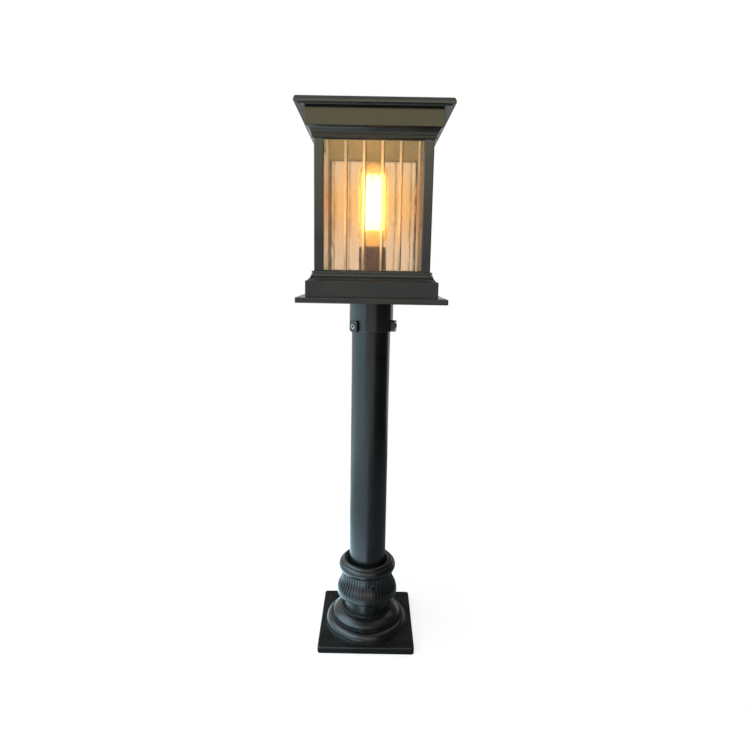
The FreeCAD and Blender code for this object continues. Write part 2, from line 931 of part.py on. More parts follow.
def lampholder_shell():
    shell = cylinder(shell_outer, disc_top, disc_top + shell_height)
    return shell.cut(cylinder(shell_inner, disc_top, disc_top + shell_height))


def lampholder_disc():
    return cylinder(holder_bore - seat_gap, disc_low, disc_top)


def lampholder_contact():
    return cylinder(contact_radius, disc_top, disc_top + contact_thickness)


def lampholder_nipple():
    low = deck_low - nipple_drop
    tube = cylinder(nipple_radius, low, disc_low)
    return tube.cut(cylinder(nipple_radius - nipple_wall, low, disc_low))


def lampholder_nut():
    nut = hexagon(nut_across_flats, deck_low - nut_height, deck_low)
    return nut.cut(cylinder(nipple_radius + thread_gap, deck_low - nut_height, deck_low))


# Bulb

def bulb_tip():
    face = tip_radius / 2.0
    return turned((0, tip_low), (face, tip_low), (tip_radius, insulator_low), (0, insulator_low))


def bulb_insulator():
    return turned(
        (0, insulator_low),
        (tip_radius + seat_gap, insulator_low),
        (cap_root_radius, cap_low),
        (0, cap_low),
    )


def bulb_cap():
    thread_low = cap_low + cap_thread_start
    steps = [(cap_root_radius, thread_low)]
    for turn in range(cap_turns):
        low = thread_low + turn * cap_pitch
        crest = (cap_crest_radius, low + cap_pitch / 2.0)
        steps.append(arc(crest, (cap_root_radius, low + cap_pitch)))
    inner = cap_root_radius - cap_metal
    steps += [(cap_root_radius, cap_top), (inner, cap_top), (inner, cap_low + cap_metal)]
    steps += [(0, cap_low + cap_metal), (0, cap_low)]
    return turned((cap_root_radius, cap_low), *steps)


def envelope_solid(inset, low):
    neck = bulb_neck_radius - inset
    body = envelope_radius - inset
    dome_centre = envelope_top - envelope_radius
    bend = math.sqrt(0.5)
    return turned(
        (0, low),
        (neck, low),
        (neck, cap_top),
        *s_curve((neck, cap_top), (body, shoulder_top)),
        (body, dome_centre),
        arc((body * bend, dome_centre + body * bend), (0, dome_centre + body)),
    )


def bulb_envelope():
    return envelope_solid(0, stem_low).cut(envelope_solid(envelope_glass, stem_low))


def bulb_stem():
    flare = bulb_neck_radius - envelope_glass - seat_gap
    return turned(
        (0, stem_low),
        (flare, stem_low),
        (flare, stem_low + stem_flare_height),
        (stem_radius, stem_low + 2.0 * stem_flare_height),
        (stem_radius, stem_top - stem_flare_height),
        (stem_radius - stem_flare_height, stem_top),
        (0, stem_top),
    )


def filament_places():
    """Places on a circle, turned so that no filament stands behind another one from the front."""
    return round_circle(filament_count, filament_circle, 90.0 / filament_count)


def bulb_filaments():
    rod = cylinder(filament_radius, filament_low, filament_top)
    return group(at_places(rod, filament_places()))


def bulb_wires():
    """A centre wire with a spoke to each end of every filament."""
    top = filament_top + wire_radius
    bottom = filament_low - wire_radius
    wires = [cylinder(wire_radius, stem_top, top + wire_radius)]
    reach = filament_circle + filament_radius
    for x, y in filament_places():
        for height in (bottom, top):
            spoke = Part.makeCylinder(wire_radius, reach, vector(0, 0, height), vector(x, y, 0))
            wires.append(spoke)
    return joined(wires)


# Wiring in the plinth of the lantern, on the flange of the slip fitter

block_near = fitter_mouth_radius + block_gap
block_middle = block_near + block_width / 2.0
block_hole_radius = lead_radius + lead_room
hole_height = flange_top + block_hole_height
pillar_x = block_near - earth_bend
pillar_y = block_pole_pitch + pillar_distance


def pole_y(pole):
    return (pole - (block_poles - 1) / 2.0) * block_pole_pitch


def terminal_block():
    half_length = block_poles * block_pole_pitch / 2.0
    block_top = flange_top + block_height
    block_far = block_near + block_width
    body = block((block_near, -half_length, flange_top), (block_far, half_length, block_top))
    well_low = block_top - block_screw_depth
    for pole in range(block_poles):
        for start, way in ((block_near, 1), (block_far, -1)):
            place = vector(start, pole_y(pole), hole_height)
            body = body.cut(Part.makeCylinder(block_hole_radius, block_hole_depth, place, vector(way, 0, 0)))
        well_radius = block_screw_radius + seat_gap
        body = body.cut(cylinder(well_radius, well_low, block_top, block_middle, pole_y(pole)))
    return body


def terminal_screws():
    low = flange_top + block_height - block_screw_depth
    seat = low + block_screw_depth / 2.0
    screw = slotted_screw(block_screw_radius, block_screw_radius, driver_slot_depth, low, seat)
    return group(at_places(screw, [(block_middle, pole_y(pole)) for pole in range(block_poles)]))


def tube_along(edges):
    path = Part.Wire(edges)
    first = edges[0]
    start = first.valueAt(first.FirstParameter)
    way = first.tangentAt(first.FirstParameter)
    section = Part.Wire([Part.makeCircle(lead_radius, start, way)])
    tube = path.makePipeShell([section], True, False)
    wanted = math.pi * lead_radius ** 2 * path.Length
    print("lead length %.1f, volume %.2f of %.2f" % (path.Length, tube.Volume, wanted))
    return tube


def lamp_lead(pole, side):
    """From a pole of the block, level towards the nipple, then up through it to the holder's disc."""
    start = vector(block_near + lead_entry, pole_y(pole), hole_height)
    above = vector(0, side * lead_spacing / 2.0, hole_height)
    way = (above - start).normalize()
    bend_start = above - way * lead_bend
    inset = lead_bend * (1.0 - math.sqrt(0.5))
    bend_middle = above - way * inset + UP * inset
    bend_end = above + UP * lead_bend
    top = vector(above.x, above.y, disc_low)
    run = Part.makeLine(start, bend_start)
    bend = Part.Arc(bend_start, bend_middle, bend_end).toShape()
    rise = Part.makeLine(bend_end, top)
    return tube_along([run, bend, rise])


def earth_lead():
    """From the last pole round to the earth pillar."""
    y = pole_y(block_poles - 1)
    start = vector(block_near + block_hole_depth / 2.0, y, hole_height)
    bend_start = vector(block_near, y, hole_height)
    inset = earth_bend * (1.0 - math.sqrt(0.5))
    bend_middle = vector(pillar_x + inset, y + inset, hole_height)
    bend_end = vector(pillar_x, y + earth_bend, hole_height)
    end = vector(pillar_x, pillar_y - pillar_radius / 2.0, hole_height)
    run = Part.makeLine(start, bend_start)
    bend = Part.Arc(bend_start, bend_middle, bend_end).toShape()
    return tube_along([run, bend, Part.makeLine(bend_end, end)])


def earth_pillar():
    top = flange_top + pillar_height
    pillar = cylinder(pillar_radius, flange_top, top, pillar_x, pillar_y)
    mouth = vector(pillar_x, pillar_y - 2.0 * pillar_radius, hole_height)
    pillar = pillar.cut(Part.makeCylinder(block_hole_radius, 2.0 * pillar_radius, mouth, vector(0, 1, 0)))
    well_radius = block_screw_radius + seat_gap
    return pillar.cut(cylinder(well_radius, top - pillar_screw_depth, top, pillar_x, pillar_y))


def earth_screw():
    top = flange_top + pillar_height
    head_radius = pillar_radius - seat_gap
    screw = slotted_screw(block_screw_radius, head_radius, pillar_head_height, top - pillar_screw_depth, top)
    screw.translate(vector(pillar_x, pillar_y, 0))
    return screw


# Every piece by its name

def all_pieces():
    pieces = {
        "post_tube": post_tube(),
        "anchor_plate": anchor_plate(),
        "foot_cover": foot_cover(),
        "foot_set_screw": foot_set_screw(),
        "fluted_collar": fluted_collar(),
        "collar_set_screw": collar_set_screw(),
        "slip_fitter": slip_fitter(),
        "slip_fitter_screws": slip_fitter_screws(),
        "floor_plate": floor_plate(),
        "lower_moulding": lower_moulding(),
        "lower_frame_screws": lower_frame_screws(),
        "lower_pane_seals": pane_seals(deck_top),
        "lampholder_body": lampholder_body(),
        "lampholder_shell": lampholder_shell(),
        "lampholder_disc": lampholder_disc(),
        "lampholder_contact": lampholder_contact(),
        "lampholder_nipple": lampholder_nipple(),
        "lampholder_nut": lampholder_nut(),
        "terminal_block": terminal_block(),
        "terminal_screws": terminal_screws(),
        "live_lead": lamp_lead(0, -1),
        "neutral_lead": lamp_lead(1, 1),
        "earth_lead": earth_lead(),
        "earth_pillar": earth_pillar(),
        "earth_screw": earth_screw(),
        "roof_plate": roof_plate(),
        "roof_gasket": roof_gasket(),
        "upper_moulding": upper_moulding(),
        "roof_screws": roof_screws(),
        "upper_pane_seals": pane_seals(pane_top),
        "bulb_tip": bulb_tip(),
        "bulb_insulator": bulb_insulator(),
        "bulb_cap": bulb_cap(),
        "bulb_envelope": bulb_envelope(),
        "bulb_stem": bulb_stem(),
        "bulb_wires": bulb_wires(),
        "bulb_filaments": bulb_filaments(),
    }
    for index, side in enumerate(("left", "right", "rear")):
        pieces["clamp_screw_" + side] = clamp_screw(index)
    for turn, corner in enumerate(("rear_right", "rear_left", "front_left", "front_right")):
        pieces["corner_post_" + corner] = spun(corner_post(), 90.0 * turn)
    for turn, side in enumerate(("rear", "left", "front", "right")):
        pieces["pane_" + side] = spun(rear_pane(), 90.0 * turn)
    return pieces


os.makedirs("parts", exist_ok=True)
for name, shape in all_pieces().items():
    print("%-24s solids %2d valid %s volume %.1f" % (name, len(shape.Solids), shape.isValid(), shape.Volume))
    shape.exportStep("parts/%s.step" % name)
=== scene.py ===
# %% [markdown]
# A garden post light: a square lantern with ribbed glass on a round post. The shapes come from the packed
# CAD model, which loads first and is never moved. This lesson gives every piece its finish, lights the
# bulb, and sets up the studio and the camera.

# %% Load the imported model
import bpy
import json
import math
from mathutils import Matrix, Vector


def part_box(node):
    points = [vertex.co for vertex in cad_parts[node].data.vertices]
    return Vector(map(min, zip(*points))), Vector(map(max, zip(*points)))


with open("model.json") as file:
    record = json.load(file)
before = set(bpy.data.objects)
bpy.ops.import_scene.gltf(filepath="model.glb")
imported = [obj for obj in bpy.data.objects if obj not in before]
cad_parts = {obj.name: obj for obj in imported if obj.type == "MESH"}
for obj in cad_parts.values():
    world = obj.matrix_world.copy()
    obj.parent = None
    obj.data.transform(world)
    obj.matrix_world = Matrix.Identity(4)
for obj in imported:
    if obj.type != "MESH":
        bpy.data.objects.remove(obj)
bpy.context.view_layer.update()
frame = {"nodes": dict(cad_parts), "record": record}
nodes = frame["nodes"]
MM = 0.001

# %% [markdown]
# The camera stands straight in front, level with the foot of the glass, and looks down ten degrees. The
# picture leans by one degree. A camera could be pushed about by eye, but then the plates and the post never
# fit at the same time, so the place and the lens were worked out from the straight edges of the light.

# %% Camera
PICTURE_SIDE = 750.0
FOCAL_PIXELS = 539.1
VIEW_CENTRE = (371.65, 363.33)
SENSOR_WIDTH = 36.0
NEAREST = 0.01
# The stand is in millimetres, the turns below it are in degrees.
STAND = (1.69, -843.44, 606.18)
LEVEL = 90.0
LOOK_DOWN = 10.02
LEAN = 0.99

camera_data = bpy.data.cameras.new("photo_camera")
camera_data.sensor_width = SENSOR_WIDTH
camera_data.lens = FOCAL_PIXELS / PICTURE_SIDE * SENSOR_WIDTH
camera_data.shift_x = (PICTURE_SIDE / 2.0 - VIEW_CENTRE[0]) / PICTURE_SIDE
camera_data.shift_y = (VIEW_CENTRE[1] - PICTURE_SIDE / 2.0) / PICTURE_SIDE
camera_data.clip_start = NEAREST
camera = bpy.data.objects.new("photo_camera", camera_data)
bpy.context.scene.collection.objects.link(camera)
stand = Matrix.Translation(Vector(STAND) * MM)
look_down = Matrix.Rotation(math.radians(LEVEL - LOOK_DOWN), 4, "X")
lean = Matrix.Rotation(math.radians(LEAN), 4, "Z")
camera.matrix_world = stand @ look_down @ lean
bpy.context.scene.camera = camera
bpy.context.scene.view_settings.view_transform = "Standard"
print("camera lens %.2f mm, shift %.4f %.4f" % (camera_data.lens, camera_data.shift_x, camera_data.shift_y))

# %% [markdown]
# Every finish is a small network of shader nodes. Typing out each node and each wire would bury the idea of
# the finish, so a few helpers do that. These four add a node, wire two sockets, feed a socket from a wire or
# a plain value, and open a material whose Principled shader is already wired to the output.

# %% Helpers: nodes and materials
def add_node(tree, kind, settings=None, values=None):
    """Adds a node: settings are its own choices, values are the plain values of its sockets."""
    node = tree.nodes.new(kind)
    for name, setting in (settings or {}).items():
        setattr(node, name, setting)
    for name, value in (values or {}).items():
        node.inputs[name].default_value = value
    return node


def wire(tree, source, target):
    tree.links.new(source, target)


def feed(tree, source, target):
    """Wires a socket to the target, or sets the target to a plain value."""
    if isinstance(source, bpy.types.NodeSocket):
        wire(tree, source, target)
    else:
        target.default_value = source


def new_material(name, values):
    material = bpy.data.materials.new(name)
    material.use_nodes = True
    tree = material.node_tree
    shader = tree.nodes["Principled BSDF"]
    for socket, value in values.items():
        shader.inputs[socket].default_value = value
    return material, tree, shader


print("helpers for nodes and materials")

# %% [markdown]
# An effect that several finishes share, such as worn edges or dust, is a node group. It is built once, with
# named sockets, and placed in each material with that material's own values.

# %% Helpers: groups
def new_group(name, inputs, outputs):
    """A node group with named sockets: inputs are (name, kind, value), outputs are (name, kind)."""
    group = bpy.data.node_groups.new(name, "ShaderNodeTree")
    for title, kind, value in inputs:
        socket = group.interface.new_socket(name=title, in_out="INPUT", socket_type="NodeSocket" + kind)
        socket.default_value = value
    for title, kind in outputs:
        group.interface.new_socket(name=title, in_out="OUTPUT", socket_type="NodeSocket" + kind)
    return group, group.nodes.new("NodeGroupInput"), group.nodes.new("NodeGroupOutput")


def place_group(tree, group, values):
    node = tree.nodes.new("ShaderNodeGroup")
    node.node_tree = group
    for name, value in values.items():
        node.inputs[name].default_value = value
    return node


print("helpers for groups")

# %% [markdown]
# A few steps come back in nearly every finish: a mix of two colours, a sum, a change of range, a cloud of
# noise, and the place of a point on its own piece. The place is taken from the piece and not from the room,
# so that a pattern moves with its piece.

# %% Helpers: colours, numbers and places
def mix_colours(tree, factor, first, second, blend="MIX"):
    """Mixes two colours; each of the three may be a socket or a plain value."""
    mix = add_node(tree, "ShaderNodeMix", {"data_type": "RGBA", "blend_type": blend})
    # The colour sockets share their names with the number sockets, so they are found by number.
    feed(tree, factor, mix.inputs[0])
    feed(tree, first, mix.inputs[6])
    feed(tree, second, mix.inputs[7])
    return mix.outputs[2]


def calculate(tree, operation, first, second=0.0, limit=False):
    """One step of arithmetic on sockets or numbers; a limit keeps the result between nought and one."""
    node = add_node(tree, "ShaderNodeMath", {"operation": operation, "use_clamp": limit})
    feed(tree, first, node.inputs[0])
    feed(tree, second, node.inputs[1])
    return node.outputs[0]


def stretched(tree, source, old_range, new_range=(0.0, 1.0)):
    """Maps a value from one range to another and stops at the ends."""
    node = add_node(tree, "ShaderNodeMapRange")
    wire(tree, source, node.inputs["Value"])
    for name, value in zip(("From Min", "From Max", "To Min", "To Max"), (*old_range, *new_range)):
        node.inputs[name].default_value = value
    return node.outputs["Result"]


def noise(tree, place, scale, detail):
    """Cloudy noise; scale may be a number or a socket."""
    node = add_node(tree, "ShaderNodeTexNoise", None, {"Detail": detail})
    wire(tree, place, node.inputs["Vector"])
    feed(tree, scale, node.inputs["Scale"])
    return node.outputs["Fac"]


def piece_place(tree, squeeze=(1.0, 1.0, 1.0)):
    """Where a point lies on its own piece, in metres, so that the pattern moves with the piece."""
    place = add_node(tree, "ShaderNodeTexCoord")
    mapping = add_node(tree, "ShaderNodeMapping", None, {"Scale": squeeze})
    wire(tree, place.outputs["Object"], mapping.inputs["Vector"])
    return mapping.outputs["Vector"]


def piece_axes(tree):
    """The three parts of a point's place on its own piece."""
    axes = add_node(tree, "ShaderNodeSeparateXYZ")
    wire(tree, piece_place(tree), axes.inputs[0])
    return axes.outputs


def away_from(tree, height):
    """How far a point lies above or below a height."""
    return calculate(tree, "ABSOLUTE", calculate(tree, "SUBTRACT", piece_axes(tree)["Z"], height))


print("helpers for colours, numbers and places")

# %% [markdown]
# A casting never has a knife edge. The CAD pieces do, so this group asks for the normal of an edge that is
# rounded by a small radius. Where that normal differs from the flat one there is an edge, which also tells
# the paint where it is worn thin. A bevelled mesh would do the same, but the CAD meshes stay as they are.

# %% Group: rounded edges
BEVEL_SAMPLES = 6
FLAT_TO_SHARP = (0.98, 0.75)

rounded_edges, group_in, group_out = new_group(
    "rounded edges",
    [("Radius", "Float", 0.0006)],
    [("Normal", "Vector"), ("Edge", "Float")],
)
bevel = add_node(rounded_edges, "ShaderNodeBevel", {"samples": BEVEL_SAMPLES})
surface = add_node(rounded_edges, "ShaderNodeNewGeometry")
closeness = add_node(rounded_edges, "ShaderNodeVectorMath", {"operation": "DOT_PRODUCT"})
wire(rounded_edges, group_in.outputs["Radius"], bevel.inputs["Radius"])
wire(rounded_edges, bevel.outputs["Normal"], closeness.inputs[0])
wire(rounded_edges, surface.outputs["Normal"], closeness.inputs[1])
edge = stretched(rounded_edges, closeness.outputs["Value"], FLAT_TO_SHARP)
wire(rounded_edges, bevel.outputs["Normal"], group_out.inputs["Normal"])
wire(rounded_edges, edge, group_out.inputs["Edge"])
print("group", rounded_edges.name)

# %% [markdown]
# Powder paint is sprayed dry and baked, which leaves a skin like fine orange peel. From a step away it shows
# as a soft sparkle in the highlights and as clouds of slightly different shine. The group gives a colour, a
# roughness and a height for any painted piece.

# %% Group: powder paint
CLOUD_SCALE = 28.0
CLOUD_RANGE = (0.35, 0.65)
CLOUD_SHADE = (0.78, 0.78, 0.80, 1.0)
SHINE_RANGE = (0.3, 0.7)
SHINE_SWING = (-0.06, 0.06)
GRAIN_SCALE = 2600.0
GRAIN_SHARE = 0.25
SCUFF_SCALE = 260.0
SCUFF_RANGE = (0.4, 0.7)
SCUFF_WEAR = (0.1, 1.0)

powder_paint, group_in, group_out = new_group(
    "powder paint",
    [
        ("Colour", "Color", (0.05, 0.05, 0.05, 1.0)),
        ("Worn Colour", "Color", (0.12, 0.12, 0.12, 1.0)),
        ("Edge", "Float", 0.0),
        ("Peel Scale", "Float", 700.0),
        ("Dull", "Float", 0.42),
    ],
    [("Colour", "Color"), ("Roughness", "Float"), ("Height", "Float")],
)
where = piece_place(powder_paint)
clouds = noise(powder_paint, where, CLOUD_SCALE, detail=4.0)
grains = noise(powder_paint, where, GRAIN_SCALE, detail=1.0)
peel = noise(powder_paint, where, group_in.outputs["Peel Scale"], detail=2.0)
scuffs = noise(powder_paint, where, SCUFF_SCALE, detail=3.0)
darker = mix_colours(powder_paint, 1.0, group_in.outputs["Colour"], CLOUD_SHADE, "MULTIPLY")
shade = stretched(powder_paint, clouds, CLOUD_RANGE)
clouded = mix_colours(powder_paint, shade, darker, group_in.outputs["Colour"])
scuffed = stretched(powder_paint, scuffs, SCUFF_RANGE, SCUFF_WEAR)
rubbed = calculate(powder_paint, "MULTIPLY", group_in.outputs["Edge"], scuffed)
painted = mix_colours(powder_paint, rubbed, clouded, group_in.outputs["Worn Colour"])
uneven = stretched(powder_paint, clouds, SHINE_RANGE, SHINE_SWING)
shine = calculate(powder_paint, "ADD", group_in.outputs["Dull"], uneven)
grain_height = calculate(powder_paint, "MULTIPLY", grains, GRAIN_SHARE)
wire(powder_paint, painted, group_out.inputs["Colour"])
wire(powder_paint, shine, group_out.inputs["Roughness"])
wire(powder_paint, calculate(powder_paint, "ADD", peel, grain_height), group_out.inputs["Height"])
print("group", powder_paint.name)

# %% [markdown]
# A light that has stood outside for a day has dust on every ledge. Dust lies where a face looks up, thinner
# where the wind or the rain took it, so the mask is the upward part of the normal times a cloud of noise.

# %% Group: ledge dust
LEDGE_SLOPE = (0.3, 0.95)
DRIFT_SCALE = 90.0
DRIFT_RANGE = (0.35, 0.75)
DRIFT_COVER = (0.1, 1.0)

ledge_dust, group_in, group_out = new_group(
    "ledge dust",
    [("Amount", "Float", 0.3)],
    [("Mask", "Float")],
)
surface = add_node(ledge_dust, "ShaderNodeNewGeometry")
parts = add_node(ledge_dust, "ShaderNodeSeparateXYZ")
wire(ledge_dust, surface.outputs["Normal"], parts.inputs[0])
upward = stretched(ledge_dust, parts.outputs["Z"], LEDGE_SLOPE)
drift = noise(ledge_dust, piece_place(ledge_dust), DRIFT_SCALE, detail=5.0)
cover = stretched(ledge_dust, drift, DRIFT_RANGE, DRIFT_COVER)
settled = calculate(ledge_dust, "MULTIPLY", upward, cover)
mask = calculate(ledge_dust, "MULTIPLY", settled, group_in.outputs["Amount"])
wire(ledge_dust, mask, group_out.inputs["Mask"])
print("group", ledge_dust.name)

# %% [markdown]
# Bare metal shows the marks of how it was made: fine lines along the way it was drawn or turned, and small
# spots where it has dulled. Noise that is squeezed along one axis makes the lines, and plain noise makes the
# spots.

# %% Group: worked metal
LINE_SQUEEZE = (1.0, 1.0, 12.0)
LINE_SCALE = 500.0
LINE_RANGE = (0.3, 0.7)
LINE_SHINE = (-0.07, 0.1)
SPOT_SCALE = 350.0
SPOT_RANGE = (0.45, 0.7)
SPOT_COVER = (0.0, 0.7)

worked_metal, group_in, group_out = new_group(
    "worked metal",
    [
        ("Colour", "Color", (0.5, 0.5, 0.5, 1.0)),
        ("Dull Colour", "Color", (0.3, 0.3, 0.3, 1.0)),
        ("Shine", "Float", 0.3),
    ],
    [("Colour", "Color"), ("Roughness", "Float"), ("Height", "Float")],
)
lines = noise(worked_metal, piece_place(worked_metal, LINE_SQUEEZE), LINE_SCALE, detail=3.0)
spots = noise(worked_metal, piece_place(worked_metal), SPOT_SCALE, detail=4.0)
dulled = stretched(worked_metal, spots, SPOT_RANGE, SPOT_COVER)
metal_colour = mix_colours(worked_metal, dulled, group_in.outputs["Colour"], group_in.outputs["Dull Colour"])
line_shine = stretched(worked_metal, lines, LINE_RANGE, LINE_SHINE)
metal_shine = calculate(worked_metal, "ADD", group_in.outputs["Shine"], line_shine)
wire(worked_metal, metal_colour, group_out.inputs["Colour"])
wire(worked_metal, metal_shine, group_out.inputs["Roughness"])
wire(worked_metal, lines, group_out.inputs["Height"])
print("group", worked_metal.name)

# %% [markdown]
# Moulded plastic, rubber and fired clay are one colour to the eye, but the skin of the mould leaves a fine
# grain and the shine is never quite even. One group serves them all with its own scale and shine.

# %% Group: moulded skin
FLOW_SCALE = 60.0
FLOW_RANGE = (0.35, 0.65)
FLOW_SHADE = (0.72, 0.70, 0.68, 1.0)
SKIN_RANGE = (0.3, 0.7)
SKIN_SWING = (-0.08, 0.08)

moulded_skin, group_in, group_out = new_group(
    "moulded skin",
    [
        ("Colour", "Color", (0.5, 0.5, 0.5, 1.0)),
        ("Shine", "Float", 0.4),
        ("Grain Scale", "Float", 1200.0),
    ],
    [("Colour", "Color"), ("Roughness", "Float"), ("Height", "Float")],
)
where = piece_place(moulded_skin)
grain = noise(moulded_skin, where, group_in.outputs["Grain Scale"], detail=2.0)
flow = noise(moulded_skin, where, FLOW_SCALE, detail=3.0)
deeper = mix_colours(moulded_skin, 1.0, group_in.outputs["Colour"], FLOW_SHADE, "MULTIPLY")
flow_share = stretched(moulded_skin, flow, FLOW_RANGE)
skin_colour = mix_colours(moulded_skin, flow_share, deeper, group_in.outputs["Colour"])
uneven = stretched(moulded_skin, flow, SKIN_RANGE, SKIN_SWING)
skin_shine = calculate(moulded_skin, "ADD", group_in.outputs["Shine"], uneven)
wire(moulded_skin, skin_colour, group_out.inputs["Colour"])
wire(moulded_skin, skin_shine, group_out.inputs["Roughness"])
wire(moulded_skin, grain, group_out.inputs["Height"])
print("group", moulded_skin.name)

# %% [markdown]
# Pressed glass is never perfect. It waves a little, and fine specks of dust and haze catch the light of the
# bulb, which is what makes the panes glow around it. The specks are rough, the rest is clear, and paler
# streaks run down the sheet.

# %% Group: glass flaws
WAVE_SQUEEZE = (1.0, 1.0, 0.25)
WAVE_SCALE = 90.0
SPECK_SCALE = 1800.0
STREAK_SQUEEZE = (1.0, 1.0, 0.03)
STREAK_SCALE = 300.0
STREAK_RANGE = (0.45, 0.75)
STREAK_WHITE = (1.0, 0.97, 0.92, 1.0)
STREAK_SHARE = 0.5

glass_flaws, group_in, group_out = new_group(
    "glass flaws",
    [
        ("Colour", "Color", (1.0, 1.0, 1.0, 1.0)),
        ("Clear", "Float", 0.03),
        ("Haze", "Float", 0.4),
        ("Haze Share", "Float", 0.5),
    ],
    [("Colour", "Color"), ("Roughness", "Float"), ("Height", "Float")],
)
waves = noise(glass_flaws, piece_place(glass_flaws, WAVE_SQUEEZE), WAVE_SCALE, detail=2.0)
specks = noise(glass_flaws, piece_place(glass_flaws), SPECK_SCALE, detail=1.0)
streaks = noise(glass_flaws, piece_place(glass_flaws, STREAK_SQUEEZE), STREAK_SCALE, detail=3.0)
hazy = calculate(glass_flaws, "GREATER_THAN", specks, group_in.outputs["Haze Share"])
difference = calculate(glass_flaws, "SUBTRACT", group_in.outputs["Haze"], group_in.outputs["Clear"])
haze_part = calculate(glass_flaws, "MULTIPLY", hazy, difference)
paler = mix_colours(glass_flaws, STREAK_SHARE, group_in.outputs["Colour"], STREAK_WHITE)
streak_mask = stretched(glass_flaws, streaks, STREAK_RANGE)
glass_colour = mix_colours(glass_flaws, streak_mask, group_in.outputs["Colour"], paler)
glass_shine = calculate(glass_flaws, "ADD", group_in.outputs["Clear"], haze_part)
wire(glass_flaws, glass_colour, group_out.inputs["Colour"])
wire(glass_flaws, glass_shine, group_out.inputs["Roughness"])
wire(glass_flaws, waves, group_out.inputs["Height"])
print("group", glass_flaws.name)

# %% [markdown]
# The ribs inside the panes are pressed. The crest and one flank of a rib come matt from the mould and scatter
# the light, and they are painted paler as a highlight; the other flank is clear and is painted darker as
# shade.
# Only a flank has a normal between two axes of its pane, so the product of two parts of the normal finds the
# flanks, with a sign that tells them apart. The crest is the part of the glass that lies nearest to the bulb.

# %% Group: pressed ribs
# The matt part also carries a painted highlight, and the other flank carries painted shade.
MATT_HIGHLIGHT_SLANT = (-0.1, -0.35)
SHADED_FLANK_SLANT = (0.1, 0.35)

pressed_ribs, group_in, group_out = new_group(
    "pressed ribs",
    [("Crest", "Float", 0.08)],
    [("Matt Highlight", "Float"), ("Shaded Flank", "Float")],
)
place = add_node(pressed_ribs, "ShaderNodeTexCoord")
parts = add_node(pressed_ribs, "ShaderNodeSeparateXYZ")
wire(pressed_ribs, place.outputs["Normal"], parts.inputs[0])
slant = calculate(pressed_ribs, "MULTIPLY", parts.outputs["X"], parts.outputs["Y"])
matt_highlight_flank = stretched(pressed_ribs, slant, MATT_HIGHLIGHT_SLANT)
axes = piece_axes(pressed_ribs)
sides = [calculate(pressed_ribs, "ABSOLUTE", axes[axis]) for axis in ("X", "Y")]
from_bulb = calculate(pressed_ribs, "MAXIMUM", sides[0], sides[1])
crest = calculate(pressed_ribs, "LESS_THAN", from_bulb, group_in.outputs["Crest"])
wire(pressed_ribs, calculate(pressed_ribs, "MAXIMUM", matt_highlight_flank, crest), group_out.inputs["Matt Highlight"])
wire(pressed_ribs, stretched(pressed_ribs, slant, SHADED_FLANK_SLANT), group_out.inputs["Shaded Flank"])
print("group", pressed_ribs.name)

# %% [markdown]
# The castings and the tube wear the same black paint with a satin shine: most of the grey that one sees is
# the pale room mirrored in it. Paint, edges and dust come from their groups, and the height of the skin goes
# through one Bump node. On the ceiling over the bulb a pale, warm colour is painted lamplight, standing for
# the bulb's light falling there, and the surface is rough there. A mask by place finds it, so no face has to
# be cut out of the casting.

# %% Paint and ceiling
PAINT_IOR = 1.5
PEEL_DEPTH = 0.00006
PEEL_STRENGTH = 0.5
DUST_COLOUR = (0.30, 0.28, 0.25, 1.0)
DUST_DULLNESS = 0.4
# Painted lamplight: the pale, warm colour of the ceiling over the bulb stands for the bulb's light falling on
# it.
CEILING_LAMPLIGHT_COLOUR = (0.140, 0.140, 0.028, 1.0)
CEILING_ROUGHNESS = 0.7
CEILING_SKIN = 0.5 * MM


def add_bump(tree, shader, height, distance, strength, normal=None):
    bump = add_node(tree, "ShaderNodeBump", None, {"Strength": strength, "Distance": distance})
    wire(tree, height, bump.inputs["Height"])
    if normal is not None:
        wire(tree, normal, bump.inputs["Normal"])
    wire(tree, bump.outputs["Normal"], shader.inputs["Normal"])


def lamplit_ceiling(tree):
    """One on the face that looks down between the panes, where a pale, warm colour is painted as the bulb's
    light.
    """
    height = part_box("upper_moulding")[0].z
    reach = -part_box("pane_left")[1].x
    axes = piece_axes(tree)
    mask = calculate(tree, "LESS_THAN", axes["Z"], height + CEILING_SKIN)
    for axis in ("X", "Y"):
        inside = calculate(tree, "LESS_THAN", calculate(tree, "ABSOLUTE", axes[axis]), reach)
        mask = calculate(tree, "MULTIPLY", mask, inside)
    return mask


def painted_material(name, colour, worn, peel_scale, dull, edge_radius, dust, ceiling=False):
    material, tree, shader = new_material(name, {"IOR": PAINT_IOR})
    edges = place_group(tree, rounded_edges, {"Radius": edge_radius})
    paint = place_group(
        tree, powder_paint, {"Colour": colour, "Worn Colour": worn, "Peel Scale": peel_scale, "Dull": dull}
    )
    wire(tree, edges.outputs["Edge"], paint.inputs["Edge"])
    dust_layer = place_group(tree, ledge_dust, {"Amount": dust})
    skin = mix_colours(tree, dust_layer.outputs["Mask"], paint.outputs["Colour"], DUST_COLOUR)
    rougher = calculate(tree, "MULTIPLY", dust_layer.outputs["Mask"], DUST_DULLNESS)
    dullness = calculate(tree, "ADD", paint.outputs["Roughness"], rougher)
    if ceiling:
        lamplit_mask = lamplit_ceiling(tree)
        # Painted lamplight on the ceiling over the bulb.
        skin = mix_colours(tree, lamplit_mask, skin, CEILING_LAMPLIGHT_COLOUR)
        dullness = calculate(tree, "MAXIMUM", dullness, calculate(tree, "MULTIPLY", lamplit_mask, CEILING_ROUGHNESS))
    wire(tree, skin, shader.inputs["Base Color"])
    wire(tree, dullness, shader.inputs["Roughness"])
    add_bump(tree, shader, paint.outputs["Height"], PEEL_DEPTH, PEEL_STRENGTH, edges.outputs["Normal"])
    return material


print("paint ready, skin of the ceiling", CEILING_SKIN, "m")
